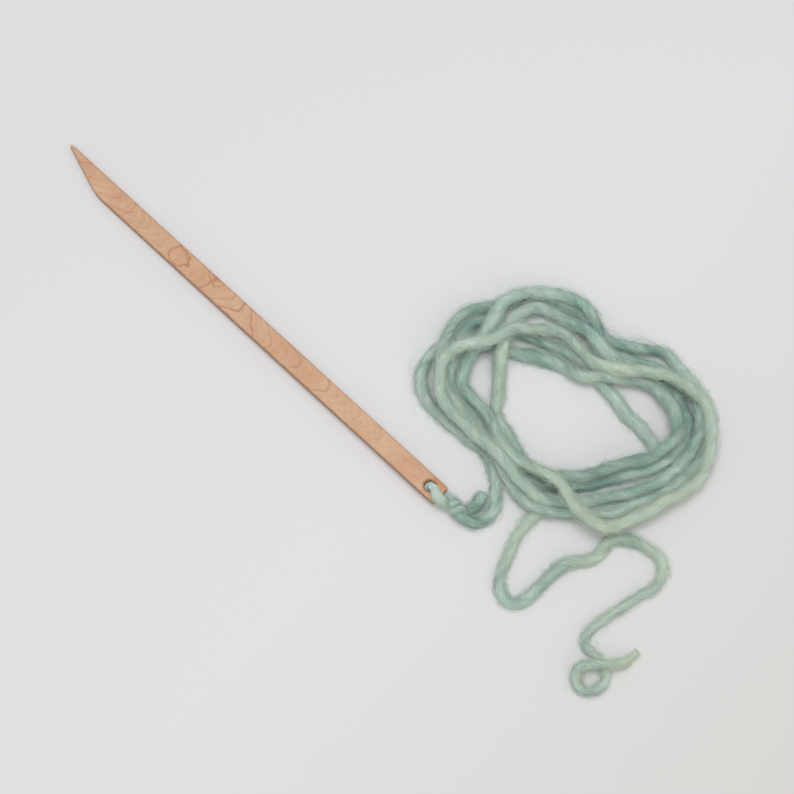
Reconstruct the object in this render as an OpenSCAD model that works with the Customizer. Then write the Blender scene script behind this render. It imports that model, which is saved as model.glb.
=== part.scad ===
// A flat wooden needle with a slanting point, threaded with a length of bulky single-ply wool.
// The wool is doubled back through the eye and tied, then lies in a loose coil with a free tail.
// Lengths are millimetres. +X runs from the point to the eye, +Z is up from the table,
// and the origin is on the table, below the middle of the needle.

/* [Needle] */
// Length from the rounded point to the square end
needle_length = 229; // [150:1:300]
// Width across the flat faces
needle_width = 9.5; // [8:0.1:14]
// Thickness of the strip
needle_thickness = 3.2; // [2.4:0.1:4.5]
// Angle between the slanting cut of the point and the long back edge
point_angle = 19; // [14:1:35]
// Radius that blunts the tip
tip_radius = 0.6; // [0.3:0.05:1]
// Radius of the shoulder, where the slanting cut runs out into the front edge
shoulder_radius = 30; // [5:1:50]
// Radius of the two corners at the square end
corner_radius = 0.8; // [0.3:0.1:2]
// Radius that eases the edges of both faces
edge_radius = 0.4; // [0.2:0.05:0.8]

/* [Eye] */
// Diameter of the eye
eye_diameter = 4.8; // [4:0.1:6]
// Distance from the square end to the middle of the eye
eye_setback = 6.4; // [5.5:0.1:12]
// Width and depth of the chamfer round each mouth of the eye
eye_chamfer = 0.2; // [0.1:0.05:0.5]

/* [Wool] */
// Thickness of the wool in the coil
coil_thickness = 4.8; // [4:0.1:5.2]
// Thickness of the wool where it lies free
free_thickness = 4.6; // [4:0.1:5]
// Thickness of the wool that is squeezed flat below the square end
trapped_thickness = 3.2; // [2.8:0.1:3.6]
// Thickness of each strand where the two are twisted round each other
tied_thickness = 2.6; // [2:0.1:2.8]
// Thickness of the frayed tip of the tail
frayed_thickness = 1.6; // [1:0.1:3]
// Space between the wool and the wood, and between the wool and the wall of the eye
wood_clearance = 0.2; // [0.1:0.05:0.4]
// Space between strands of the coil that lie on each other
strand_clearance = 0.5; // [0.45:0.05:1]
// Steepest climb of a strand of the coil, as height over length
steepest_climb = 0.5; // [0.3:0.05:1]

/* [Hidden] */
$fn = 96;
maple = "#d9b48c";
sea_green = "#8fae98";

// The needle lies on its point and, at the square end, on the squeezed strand
end_lift = trapped_thickness + 2 * wood_clearance;
tilt = asin(end_lift / needle_length);
needle_start = -(needle_length * cos(tilt) - needle_thickness * sin(tilt)) / 2;

// The sharp corner, which the tip radius cuts back, lies ahead of the rounded point
tip_overrun = tip_radius * (1 / tan(point_angle / 2) - 1);
shoulder_x = needle_width / tan(point_angle) - tip_overrun;

// Middle of the eye, and the heights of its two mouths where it stands on the table
eye_along = needle_length - eye_setback;
eye_middle = eye_along * sin(tilt) + needle_thickness / 2 * cos(tilt);
eye_x = needle_start + eye_along * cos(tilt) - needle_thickness / 2 * sin(tilt);
eye_top = eye_middle + needle_thickness / 2;
eye_bottom = eye_middle - needle_thickness / 2;
eye_strand = eye_diameter - 2 * wood_clearance;

// Everything below is measured from the table straight below the eye.
// The strand bends round the mouth of the eye, just clear of its edge
bend = eye_strand / 2 + wood_clearance;

// The two strands turn once round each other, about a line that runs on from the needle
knot_start = [11, 1, 4];
knot_length = 7;
knot_radius = 1.7;
knot_steps = [0 : 45 : 360];
function knot_point(a, phase) = knot_start
    + [knot_length * a / 360, knot_radius * cos(phase - a), knot_radius * sin(phase - a)];
lead_twist = [for (a = knot_steps) knot_point(a, 150)];
end_twist = [for (a = knot_steps) knot_point(a, -30)];

// The coil's turns are drawn about this point, clockwise seen from above
coil_middle = [20, 65];
coil_start_angle = 254;
last_ring = 141;
rings_per_turn = 24;

// How far each turn lies from the middle, every 15 degrees from where the coil starts
turn_reaches = [
    [39, 44, 56, 65, 62, 42, 30, 25, 21, 17, 17, 21, 29, 40, 46, 48, 43, 35, 31, 29, 28, 29, 30, 29],
    [28, 29, 31, 31, 34, 39, 46, 49, 42, 36, 31, 32, 39, 50, 58, 57, 53, 48, 43, 41, 41, 41, 39, 37],
    [37, 41, 51, 57, 54, 44, 41, 38, 35, 27, 24, 26, 34, 49, 60, 63, 64, 58, 56, 56, 41, 32, 30, 31],
    [32, 33, 36, 47, 48, 49, 54, 55, 52, 44, 36, 40, 51, 56, 61, 61, 57, 54, 50, 48, 46, 45, 42, 38],
    [36, 38, 45, 56, 61, 62, 57, 54, 50, 43, 36, 36, 37, 45, 50, 52, 47, 39, 34, 33, 32, 33, 34, 33],
    [32, 34, 40, 51, 55, 56, 43, 32, 28, 25, 23, 21, 21, 23, 26, 35, 46, 49, 47, 44, 43, 44]
];
reaches = [for (row = turn_reaches) each row];

// Which strand lies on top where two cross: a level every 60 degrees, row by row for each turn
rings_per_level = 4;
turn_levels = [
    [0.5, 0.5, 3.2, 3.4, 3.5, 3.5],
    [3.6, 3.8, 4.1, 4.3, 4.5, 4.8],
    [5.2, 5.2, 5, 5, 5, 5.4],
    [4.2, 4.2, 4, 3.5, 3, 2.8],
    [2.4, 2.2, 2, 1.8, 1.6, 1.5],
    [1.4, 1.2, 1, 0.6, 0.3, 0.1]
];
levels = [for (row = turn_levels) each row];

// The rings of the coil, seen from above
plan = [for (i = [0 : last_ring])
    let (angle = coil_start_angle - i * 360 / rings_per_turn)
    coil_middle + reaches[i] * [cos(angle), sin(angle)]];

// Spots along the strand, close together, where crossings are looked for. Each is a place
// counted in rings, so that 2.5 lies halfway between ring 2 and ring 3
spot_step = 4;
places = [
    for (i = [0 : last_ring - 1])
        let (parts = ceil(norm(plan[i + 1] - plan[i]) / spot_step))
        each [for (k = [0 : parts - 1]) i + k / parts],
    last_ring
];
last_spot = len(places) - 1;
function between(values, place) =
    let (i = min(floor(place), len(values) - 2), share = place - i)
    (1 - share) * values[i] + share * values[i + 1];
spots = [for (place = places) between(plan, place)];
spot_levels = [for (place = places) between(levels, place / rings_per_level)];

// For each spot, the lower strands within reach and how much higher it lies than each of them
clear = coil_thickness + strand_clearance;
neighbours = 4;
carriers = [for (s = [0 : last_spot])
    [for (q = [0 : last_spot])
        let (gap = norm(spots[s] - spots[q]))
        if (gap < clear && spot_levels[q] < spot_levels[s] && abs(q - s) > neighbours)
            [q, sqrt(clear * clear - gap * gap)]]];

// Height of the middle of a strand that lies on the table, on a flat of its six or eight sides
resting = max(coil_thickness / 2 * sin(60), free_thickness / 2 * sin(67.5));
function carried(z) = [for (s = [0 : last_spot])
    max([resting, each [for (c = carriers[s]) between(z, places[c[0]]) + c[1]]])];
function held(need) = [for (i = [0 : last_ring])
    max([for (s = [0 : last_spot]) if (abs(places[s] - i) < 1) need[s]])];
function eased(z) = [for (i = [0 : last_ring])
    max([for (k = [max(i - 4, 0) : min(i + 4, last_ring)])
        z[k] - steepest_climb * norm(plan[k] - plan[i])])];
function settled(z, passes) = passes == 0 ? z : settled(eased(held(carried(z))), passes - 1);
heights = settled([for (i = [0 : last_ring]) resting], 8);
coil_rings = [for (i = [0 : last_ring]) [plan[i].x, plan[i].y, heights[i]]];

// Each end of the coil runs straight for one thickness, level with the table, at an angle to +X
entry_angle = -30;
exit_angle = -98;
coil_in = [cos(entry_angle), sin(entry_angle), 0];
coil_out = [cos(exit_angle), sin(exit_angle), 0];
coil_points = [
    coil_rings[0] + coil_thickness * coil_in,
    each coil_rings,
    coil_rings[last_ring] + coil_thickness * coil_out
];

// The smallest gap between strands of the coil, taken from spot to spot
coil_gap = min([for (s = [0 : last_spot - neighbours - 1])
    let (p = spots[s], z = between(heights, places[s]))
    min([for (q = [s + neighbours + 1 : last_spot])
        norm([p.x - spots[q].x, p.y - spots[q].y, z - between(heights, places[q])])])])
    - coil_thickness;
echo("least gap of the coil to itself", coil_gap);

// Where the strands come out of the knot they are still squeezed
loosening_thickness = 3.2;
function even(points, thickness) = [for (p = points) thickness];

// Route of the strand from the top of the eye, over the square end, through the knot to the coil
lead_bend = [
    [0, 0, eye_middle],
    [0, 0, eye_top],
    each [for (a = [15 : 25 : 90])
        [bend * (1 - cos(a)), 0, eye_top + wood_clearance + bend * sin(a)]]
];
lead_drop = [
    [5, -1.2, eye_top + 3],
    [7.8, -1.8, eye_top + 2.2],
    [9.8, -1.6, eye_top - 0.4]
];
lead_loosening = [[21, 0.2, 4.2]];
lead_run = [
    each laid([
        [24.2, 1.8, 0.7],
        [26.6, 5.4, 0],
        [26.8, 10.4, 0],
        [24.6, 15.2, 0],
        [21.2, 19, 0]
    ]),
    each joined_to(coil_points[0], coil_in)
];
lead_points = concat(lead_bend, lead_drop, lead_twist, lead_loosening, lead_run);
lead_thickness = concat(
    even(lead_bend, eye_strand),
    even(lead_drop, free_thickness),
    even(lead_twist, tied_thickness),
    even(lead_loosening, loosening_thickness),
    even(lead_run, free_thickness)
);

// Route of the short end, from the bottom of the eye, under the square end, to its blunt tip
end_height = trapped_thickness / 2 + wood_clearance;
end_in_eye = [
    [0, 0, eye_middle],
    [0, 0, eye_bottom + 0.6]
];
end_trapped = [
    [0.6, 0.1, eye_bottom - 0.8],
    [2.2, 0.5, end_height],
    [6.4, 1.8, end_height]
];
end_tightening = [[9.2, 2.6, 2.4]];
end_loosening = [[19.3, 4.6, 2.6]];
end_run = laid([
    [19.9, 7.6, 0],
    [19.4, 11, 0],
    [17.4, 14, 0]
]);
end_points = concat(end_in_eye, end_trapped, end_tightening, end_twist, end_loosening, end_run);
end_thickness = concat(
    even(end_in_eye, eye_strand),
    even(end_trapped, trapped_thickness),
    even(end_tightening, tied_thickness),
    even(end_twist, tied_thickness),
    even(end_loosening, loosening_thickness),
    even(end_run, free_thickness)
);

// Route of the tail, from the coil to its frayed tip, which crosses over its own last loop
tail_points = [
    each joined_from(coil_points[len(coil_points) - 1], coil_out),
    each laid([
        [41, 14, 0],
        [42.4, 10, 0],
        [44, 5, 0],
        [46, -1, 0],
        [49, -8, 0],
        [53, -12, 0],
        [57, -13, 0],
        [61, -11, 0],
        [63, -6, 0],
        [63, 0, 0],
        [63, 6, 0],
        [64, 12, 0],
        [66, 18, 0],
        [70, 23, 0],
        [72, 28, 0],
        [71, 33, 0],
        [72, 38, 0],
        [77, 42, 0],
        [83, 45, 0],
        [90, 46, 0],
        [95, 45, 0],
        [98, 41, 0],
        [99, 35, 0],
        [98, 28, 0],
        [96, 19, 0],
        [94, 11, 0],
        [92.6, 4, 0],
        [92.4, -1, 0],
        [95, -5, 0],
        [100, -5, 0],
        [104, -5, 0],
        [108, -6.4, 0],
        [111.2, -9.4, 0],
        [111.6, -14, 0],
        [108.6, -18, 0],
        [103.6, -18.6, 0.6],
        [100.4, -15.4, 2],
        [101.4, -10.6, 4],
        [105.4, -6.4, 5.2],
        [109.6, -2.4, 4],
        [112.4, 2, 1.6],
        [113.4, 6, -0.2],
        [113.8, 9, -1]
    ])
];
frayed_rings = 3;
body_rings = len(tail_points) - frayed_rings;
tail_thickness = [for (i = [0 : len(tail_points) - 1])
    free_thickness + max(i + 1 - body_rings, 0) / frayed_rings * (frayed_thickness - free_thickness)];

function unit(v) = v / norm(v);
// Points given by their height above where a strand would lie on the table
function laid(points) = [for (p = points) p + [0, 0, free_thickness / 2]];
// The last or first two points of a strand that meets the coil square, face to face
function joined_to(face, direction) = [face + free_thickness * direction, face];
function joined_from(face, direction) = [face, face + free_thickness * direction];
function headings(p) = [for (i = [0 : len(p) - 1])
    unit(p[min(i + 1, len(p) - 1)] - p[max(i - 1, 0)])];
// The sideways direction of a ring stays level, so that the flats lie up and down
function sideways(heading) =
    norm([heading.x, heading.y]) > 0.1 ? unit([heading.y, -heading.x, 0]) : [0, -1, 0];
function ring(middle, heading, radius, sides) =
    let (across = sideways(heading), up = cross(across, heading), turn = sides % 4 == 0 ? 0.5 : 0)
    [for (k = [0 : sides - 1])
        let (a = (k + turn) * 360 / sides)
        middle + radius * (cos(a) * across + sin(a) * up)];

// A strand of wool as one closed tube through the points, with a thickness at each of them
module strand(points, thickness, sides) {
    heading = headings(points);
    last = (len(points) - 1) * sides;
    skin = [for (i = [0 : len(points) - 1]) each ring(points[i], heading[i], thickness[i] / 2, sides)];
    walls = [for (i = [0 : len(points) - 2], k = [0 : sides - 1])
        let (a = i * sides + k, b = i * sides + (k + 1) % sides)
        each [[a, b, b + sides], [a, b + sides, a + sides]]];
    caps = [for (k = [1 : sides - 2]) each [[0, k + 1, k], [last, last + k, last + k + 1]]];
    polyhedron(points = skin, faces = concat(walls, caps));
}

// What a corner loses when it is rounded, for a corner whose inward direction is +X
module corner_waste(angle, radius) {
    half = angle / 2;
    run = radius / tan(half);
    difference() {
        translate([-1, -run * sin(half)])
            square([1 + run * cos(half), 2 * run * sin(half)]);
        translate([radius / sin(half), 0])
            circle(r = radius);
    }
}

// The needle from above, with its point at x = 0 and its straight back edge at +Y
module needle_outline() {
    half_width = needle_width / 2;
    difference() {
        polygon([
            [-tip_overrun, half_width],
            [shoulder_x, -half_width],
            [needle_length, -half_width],
            [needle_length, half_width]
        ]);
        translate([-tip_overrun, half_width])
            rotate(-point_angle / 2)
                corner_waste(point_angle, tip_radius);
        translate([shoulder_x, -half_width])
            rotate(90 - point_angle / 2)
                corner_waste(180 - point_angle, shoulder_radius);
        translate([needle_length, -half_width])
            rotate(135)
                corner_waste(90, corner_radius);
        translate([needle_length, half_width])
            rotate(-135)
                corner_waste(90, corner_radius);
    }
}

// Section of a strip whose long edges are eased on both faces, from x = 0 to the width
module eased_section(width) {
    translate([edge_radius, 0])
        square([width - 2 * edge_radius, needle_thickness]);
    translate([0, edge_radius])
        square([width, needle_thickness - 2 * edge_radius]);
    for (x = [edge_radius, width - edge_radius], y = [edge_radius, needle_thickness - edge_radius])
        translate([x, y])
            circle(r = edge_radius, $fn = 32);
}

// A long strip with that section, running along +X, with its front edge at y = 0
module eased_strip(width) {
    translate([-needle_length, 0, 0])
        rotate([90, 0, 90])
            linear_extrude(3 * needle_length)
                eased_section(width);
}

// The eye is a drilled hole with a small chamfer at both mouths
module eye() {
    mouth = eye_diameter + 2 * eye_chamfer;
    translate([eye_along, 0, -1])
        cylinder(d = eye_diameter, h = needle_thickness + 2);
    translate([eye_along, 0, needle_thickness - eye_chamfer])
        cylinder(d1 = eye_diameter, d2 = mouth + 2 * eye_chamfer, h = 2 * eye_chamfer);
    translate([eye_along, 0, -eye_chamfer])
        cylinder(d1 = mouth + 2 * eye_chamfer, d2 = eye_diameter, h = 2 * eye_chamfer);
}

// A flat strip with a slanting point, a square end, eased edges and a drilled eye
module needle() {
    color(maple)
        translate([needle_start, 0, 0])
            rotate([0, -tilt, 0])
                difference() {
                    intersection() {
                        linear_extrude(needle_thickness)
                            needle_outline();
                        translate([0, -needle_width / 2, 0])
                            eased_strip(needle_width);
                        translate([-tip_overrun, needle_width / 2, 0])
                            rotate(-point_angle)
                                eased_strip(needle_length);
                        translate([needle_length, -needle_length, 0])
                            rotate(90)
                                eased_strip(2 * needle_length);
                    }
                    eye();
                }
}

// The strand out of the top of the eye, through the knot and on to the coil
module yarn_lead() {
    color(sea_green)
        translate([eye_x, 0, 0])
            strand(lead_points, lead_thickness, 8);
}

// The short end, out of the bottom of the eye, under the square end and through the knot
module yarn_short_end() {
    color(sea_green)
        translate([eye_x, 0, 0])
            strand(end_points, end_thickness, 8);
}

// The loose coil of nearly six turns that lie on and over each other
module yarn_coil() {
    color(sea_green)
        translate([eye_x, 0, 0])
            strand(coil_points, [for (p = coil_points) coil_thickness], 6);
}

// The free tail that runs out from under the coil
module yarn_tail() {
    color(sea_green)
        translate([eye_x, 0, 0])
            strand(tail_points, tail_thickness, 8);
}

needle();
yarn_lead();
yarn_short_end();
yarn_coil();
yarn_tail();
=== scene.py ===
"""A threaded weaving needle: a flat maple strip with a slanting point and a drilled eye, and a length of
bulky single-ply wool that is doubled back through the eye, tied, and laid in a loose coil with a tail."""

import bpy
import numpy as np
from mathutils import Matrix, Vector


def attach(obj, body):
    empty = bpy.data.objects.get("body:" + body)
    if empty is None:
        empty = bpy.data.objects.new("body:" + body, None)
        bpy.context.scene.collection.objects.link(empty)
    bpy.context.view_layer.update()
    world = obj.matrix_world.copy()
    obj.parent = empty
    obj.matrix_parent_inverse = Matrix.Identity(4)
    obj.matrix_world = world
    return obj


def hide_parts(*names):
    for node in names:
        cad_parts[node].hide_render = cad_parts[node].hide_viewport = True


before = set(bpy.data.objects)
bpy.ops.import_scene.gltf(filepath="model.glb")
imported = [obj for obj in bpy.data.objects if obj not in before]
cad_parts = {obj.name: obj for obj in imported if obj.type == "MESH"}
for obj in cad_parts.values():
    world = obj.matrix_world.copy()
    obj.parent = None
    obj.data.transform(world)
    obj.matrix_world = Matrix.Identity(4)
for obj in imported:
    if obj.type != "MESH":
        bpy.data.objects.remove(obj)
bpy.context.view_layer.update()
MM = 0.001

# --- Table, light and camera -------------------------------------------------------------------
# The needle and its wool lie on pale paper. Its colour is painted a little greyer and warmer from the eye
# outwards: painted shade, where the light falls off across the paper.
# Soft daylight comes from above, with a warmer and weaker light from the side of the coil, and the camera
# looks down from nearly above.
CAMERA_AZIMUTH, CAMERA_ELEVATION = np.radians(43.6), np.radians(74.0)
CAMERA_DISTANCE, CAMERA_LENS, SENSOR_WIDTH = 1.4, 146.3, 36.0
LOOKED_AT = Vector((0.06936, 0.0203, 0.0))


def linear(red, green, blue):
    """A colour given as 0 to 255 per channel, as the linear light that a shader works in: a straight line
    near black, and above it a power of the channel's share."""
    share = np.array([red, green, blue]) / 255
    light = np.where(share > 0.04045, ((share + 0.055) / 1.055) ** 2.4, share / 12.92)
    return (*light.tolist(), 1.0)


def add_node(tree, kind, inputs=None, **settings):
    """One shader node, with its settings, and its inputs either linked to a socket or given a value."""
    node = tree.nodes.new("ShaderNode" + kind)
    for name, value in settings.items():
        setattr(node, name, value)
    for name, value in (inputs or {}).items():
        if isinstance(value, bpy.types.NodeSocket):
            tree.links.new(value, node.inputs[name])
        else:
            node.inputs[name].default_value = value
    return node


def add_range(tree, value, low, high, top=1.0):
    """0 where a value is at low, top where it is at high, even between them and held beyond them."""
    return add_node(tree, "MapRange", {"Value": value, "From Min": low, "From Max": high,
                                       "To Max": top}).outputs[0]


def add_mix(tree, factor, first, second):
    """A mix of two colours: the first where the factor is 0, the second where it is 1."""
    return add_node(tree, "Mix", {"Factor": factor, 6: first, 7: second}, data_type="RGBA").outputs[2]


def new_material(name, **values):
    """A material with one Principled shader, whose sockets take the values, and its node tree."""
    material = bpy.data.materials.new(name)
    material.use_nodes = True
    shader = material.node_tree.nodes["Principled BSDF"]
    for socket, value in values.items():
        shader.inputs[socket.replace("_", " ")].default_value = value
    return material, material.node_tree, shader


back = Vector((np.sin(CAMERA_AZIMUTH) * np.cos(CAMERA_ELEVATION),
               -np.cos(CAMERA_AZIMUTH) * np.cos(CAMERA_ELEVATION),
               np.sin(CAMERA_ELEVATION)))
camera = bpy.data.objects.new("camera", bpy.data.cameras.new("camera"))
camera.data.sensor_width, camera.data.lens = SENSOR_WIDTH, CAMERA_LENS
camera.location = LOOKED_AT + back * CAMERA_DISTANCE
camera.rotation_mode = "QUATERNION"
camera.rotation_quaternion = (-back).to_track_quat("-Z", "Y")
bpy.context.scene.collection.objects.link(camera)
bpy.context.scene.camera = camera
bpy.context.scene.view_settings.view_transform = "Standard"

TABLE_HALF = 6.0
# The greyer, warmer paper colour is painted shade, where the light falls off across the paper
PALE_PAPER, PAPER_IN_PAINTED_SHADE = linear(226, 226, 227), linear(213, 211, 207)
PAINTED_SHADE_FROM, PAINTED_SHADE_TO = 0.1, 0.38
table_mesh = bpy.data.meshes.new("table")
table_mesh.from_pydata([(-TABLE_HALF, -TABLE_HALF, 0), (TABLE_HALF, -TABLE_HALF, 0),
                        (TABLE_HALF, TABLE_HALF, 0), (-TABLE_HALF, TABLE_HALF, 0)], [], [(0, 1, 2, 3)])
table = bpy.data.objects.new("table", table_mesh)
bpy.context.scene.collection.objects.link(table)
paper, tree, shader = new_material("pale paper", Roughness=0.9, Specular_IOR_Level=0.1)
along_needle = add_node(tree, "SeparateXYZ", {0: add_node(tree, "TexCoord").outputs["Object"]}).outputs[0]
# Painted shade: the paper's colour turns greyer and warmer along X, where the light falls off
painted_shade = add_range(tree, along_needle, PAINTED_SHADE_FROM, PAINTED_SHADE_TO)
tree.links.new(add_mix(tree, painted_shade, PALE_PAPER, PAPER_IN_PAINTED_SHADE), shader.inputs["Base Color"])
table_mesh.materials.append(paper)


def soft_light(name, place, width, power, colour):
    """A square lamp that shines from its place towards the middle of the table."""
    lamp = bpy.data.lights.new(name, "AREA")
    lamp.size, lamp.energy, lamp.color = width, power, colour
    lit = bpy.data.objects.new(name, lamp)
    lit.location = place
    lit.rotation_mode = "QUATERNION"
    lit.rotation_quaternion = (LOOKED_AT - Vector(place)).to_track_quat("-Z", "Y")
    bpy.context.scene.collection.objects.link(lit)


ROOM_LIGHT = 0.43
soft_light("daylight", place=(0.2, -0.05, 1.85), width=0.9, power=19.0, colour=(0.98, 0.99, 1.0))
soft_light("warm_light", place=(1.7, -0.2, 1.3), width=1.2, power=4.5, colour=(1.0, 0.9, 0.8))
world = bpy.data.worlds.new("studio")
world.use_nodes = True
world.node_tree.nodes["Background"].inputs["Color"].default_value = (1.0, 1.0, 1.0, 1.0)
world.node_tree.nodes["Background"].inputs["Strength"].default_value = ROOM_LIGHT
bpy.context.scene.world = world

# --- The long strand of wool -------------------------------------------------------------------
# One end of a single-ply, softly spun sheep's wool, thick and thin, dyed in uneven sea greens. It comes
# up out of the eye, goes over the square end and through the knot, and lies in a loose coil of nearly
# six turns and a free tail, which ends in a frayed tip. Its sizes are in millimetres.
NEEDLE_LENGTH, NEEDLE_THICKNESS = 229.0, 3.2
EYE_SETBACK = 6.4
# The wool under the square end lifts it off the table
END_LIFT = 3.6
tilt = np.arcsin(END_LIFT / NEEDLE_LENGTH)
needle_start = -(NEEDLE_LENGTH * np.cos(tilt) - NEEDLE_THICKNESS * np.sin(tilt)) / 2
eye_along = NEEDLE_LENGTH - EYE_SETBACK
eye_middle = eye_along * np.sin(tilt) + NEEDLE_THICKNESS / 2 * np.cos(tilt)
eye_x = needle_start + eye_along * np.cos(tilt) - NEEDLE_THICKNESS / 2 * np.sin(tilt)
eye_top, eye_bottom = eye_middle + NEEDLE_THICKNESS / 2, eye_middle - NEEDLE_THICKNESS / 2
# The strand lies off the middle of the eye, towards the square end, and bends round the rim
BEND, WOOD_GAP = 2.4, 0.2
SLACK, LAST_SLACK = 0.7, 0.95
MOUTH_ANGLES = np.radians([15, 40, 65, 90])

KNOT_START, KNOT_LENGTH, KNOT_RADIUS = np.array([11.0, 1.0, 4.0]), 7.0, 1.7
LONG_PHASE, SHORT_PHASE = 150, -30
FREE_THICKNESS, COIL_THICKNESS, STRAND_GAP = 4.6, 4.8, 0.5
# In the solids a strand of the coil has six sides and a free one eight, and lies on its flats
lowest_coil = COIL_THICKNESS / 2 * np.cos(np.pi / 6)
lowest_free = FREE_THICKNESS / 2 * np.cos(np.pi / 8)
# Round the coil in even steps of angle: how far the strand lies from the middle
COIL_MIDDLE, COIL_START, RINGS_PER_TURN = np.array([20.0, 65.0]), 254.0, 24
REACHES = np.array([
    39, 44, 56, 65, 62, 42, 30, 25, 21, 17, 17, 21, 29, 40, 46, 48, 43, 35, 31, 29, 28, 29, 30, 29,
    28, 29, 31, 31, 34, 39, 46, 49, 42, 36, 31, 32, 39, 50, 58, 57, 53, 48, 43, 41, 41, 41, 39, 37,
    37, 41, 51, 57, 54, 44, 41, 38, 35, 27, 24, 26, 34, 49, 60, 63, 64, 58, 56, 56, 41, 32, 30, 31,
    32, 33, 36, 47, 48, 49, 54, 55, 52, 44, 36, 40, 51, 56, 61, 61, 57, 54, 50, 48, 46, 45, 42, 38,
    36, 38, 45, 56, 61, 62, 57, 54, 50, 43, 36, 36, 37, 45, 50, 52, 47, 39, 34, 33, 32, 33, 34, 33,
    32, 34, 40, 51, 55, 56, 43, 32, 28, 25, 23, 21, 21, 23, 26, 35, 46, 49, 47, 44, 43, 44,
], float)
# Which strand lies over which: where two cross, the one of the higher level is on top
RINGS_PER_LEVEL = 4
LEVELS = [0.5, 0.5, 3.2, 3.4, 3.5, 3.5, 3.6, 3.8, 4.1, 4.3, 4.5, 4.8, 5.2, 5.2, 5, 5, 5, 5.4,
          4.2, 4.2, 4, 3.5, 3, 2.8, 2.4, 2.2, 2, 1.8, 1.6, 1.5, 1.4, 1.2, 1, 0.6, 0.3, 0.1]
SPOT_STEP, OWN_SPOTS, OWN_RINGS, SETTLING_ROUNDS = 4.0, 4, 4, 8
STEEPEST_CLIMB = 0.5
ENTRY_ANGLE, EXIT_ANGLE = -30.0, -98.0
TAIL = np.array([
    [41, 14, 0], [42.4, 10, 0], [44, 5, 0], [46, -1, 0], [49, -8, 0], [53, -12, 0], [57, -13, 0],
    [61, -11, 0], [63, -6, 0], [63, 0, 0], [63, 6, 0], [64, 12, 0], [66, 18, 0], [70, 23, 0], [72, 28, 0],
    [71, 33, 0], [72, 38, 0], [77, 42, 0], [83, 45, 0], [90, 46, 0], [95, 45, 0], [98, 41, 0], [99, 35, 0],
    [98, 28, 0], [96, 19, 0], [94, 11, 0], [92.6, 4, 0], [92.4, -1, 0], [95, -5, 0], [100, -5, 0],
    [104, -5, 0], [108, -6.4, 0], [111.2, -9.4, 0], [111.6, -14, 0], [108.6, -18, 0], [103.6, -18.6, 0.6],
    [100.4, -15.4, 2], [101.4, -10.6, 4], [105.4, -6.4, 5.2], [109.6, -2.4, 4], [112.4, 2, 1.6],
    [113.4, 6, -0.2], [113.8, 9, -1],
])


def laid(points):
    """Points given by their height above where the middle of a strand on the table lies."""
    return np.array(points, float) + [0, 0, FREE_THICKNESS / 2]


def knot_twist(phase):
    """One turn of a helix of the knot's radius, from a phase in degrees, every 45 degrees."""
    turn = np.arange(0, 361, 45)
    angle = np.radians(phase - turn)
    return KNOT_START + np.stack([KNOT_LENGTH * turn / 360, KNOT_RADIUS * np.cos(angle),
                                  KNOT_RADIUS * np.sin(angle)], axis=1)


def coil_rings():
    """The coil's route: it reaches REACHES from the middle while the angle falls evenly, and its height is
    the least that clears every strand of a lower level below it, with an easy climb. Two strands are clear
    when the squares of the lift and of the gap seen from above add up to the square of the clear distance."""
    ring = np.arange(len(REACHES))
    angle = np.radians(COIL_START - ring * 360 / RINGS_PER_TURN)
    plan = COIL_MIDDLE + REACHES[:, None] * np.stack([np.cos(angle), np.sin(angle)], axis=1)

    parts = np.ceil(np.linalg.norm(np.diff(plan, axis=0), axis=1) / SPOT_STEP).astype(int)
    first = np.concatenate([[0], np.cumsum(parts)])
    at = np.interp(np.arange(first[-1] + 1), first, ring)
    spots = np.stack([np.interp(at, ring, plan[:, axis]) for axis in (0, 1)], axis=1)
    level = np.interp(at / RINGS_PER_LEVEL, np.arange(len(LEVELS)), LEVELS)
    clear = COIL_THICKNESS + STRAND_GAP
    gap = np.linalg.norm(spots[:, None] - spots[None], axis=2)
    spot = np.arange(len(at))
    another = np.abs(spot[None] - spot[:, None]) > OWN_SPOTS
    carries = (gap < clear) & (level[None] < level[:, None]) & another
    lift = np.sqrt(np.maximum(clear**2 - gap**2, 0))
    resting = max(lowest_coil, lowest_free)
    height = np.full(len(ring), resting)
    near = np.abs(ring[None] - ring[:, None]) <= OWN_RINGS
    climb = STEEPEST_CLIMB * np.linalg.norm(plan[:, None] - plan[None], axis=2)
    beside = np.abs(at[None] - ring[:, None]) < 1
    for _ in range(SETTLING_ROUNDS):
        carried = np.where(carries, np.interp(at, ring, height)[None] + lift, resting).max(axis=1)
        held = np.where(beside, carried[None], 0).max(axis=1)
        height = np.where(near, held[None] - climb, 0).max(axis=1)
    return np.column_stack([plan, height])


def level_step(degrees):
    """A level step one millimetre long, at an angle to +X."""
    return np.array([np.cos(np.radians(degrees)), np.sin(np.radians(degrees)), 0.0])


coil = coil_rings()
coil_in, coil_out = level_step(ENTRY_ANGLE), level_step(EXIT_ANGLE)
coil = np.vstack([coil[0] + COIL_THICKNESS * coil_in, coil, coil[-1] + COIL_THICKNESS * coil_out])
lead = np.vstack([
    [[0, 0, eye_middle], [0, 0, eye_top]],
    np.stack([BEND * (1 - np.cos(MOUTH_ANGLES)), 0 * MOUTH_ANGLES,
              eye_top + WOOD_GAP + BEND * np.sin(MOUTH_ANGLES)], axis=1),
    [[5, -1.2, eye_top + 3], [7.8, -1.8, eye_top + 2.2], [9.8, -1.6, eye_top - 0.4]],
    knot_twist(LONG_PHASE),
    [[21, 0.2, 4.2]],
    laid([[24.2, 1.8, 0.7], [26.6, 5.4, 0], [26.8, 10.4, 0], [24.6, 15.2, 0], [21.2, 19, 0]]),
    [coil[0] + FREE_THICKNESS * coil_in],
])
lead[:4, 0] = [SLACK, SLACK, SLACK, LAST_SLACK]
tail = np.vstack([[coil[-1] + FREE_THICKNESS * coil_out], laid(TAIL)])
long_route = np.vstack([lead, coil, tail])
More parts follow.
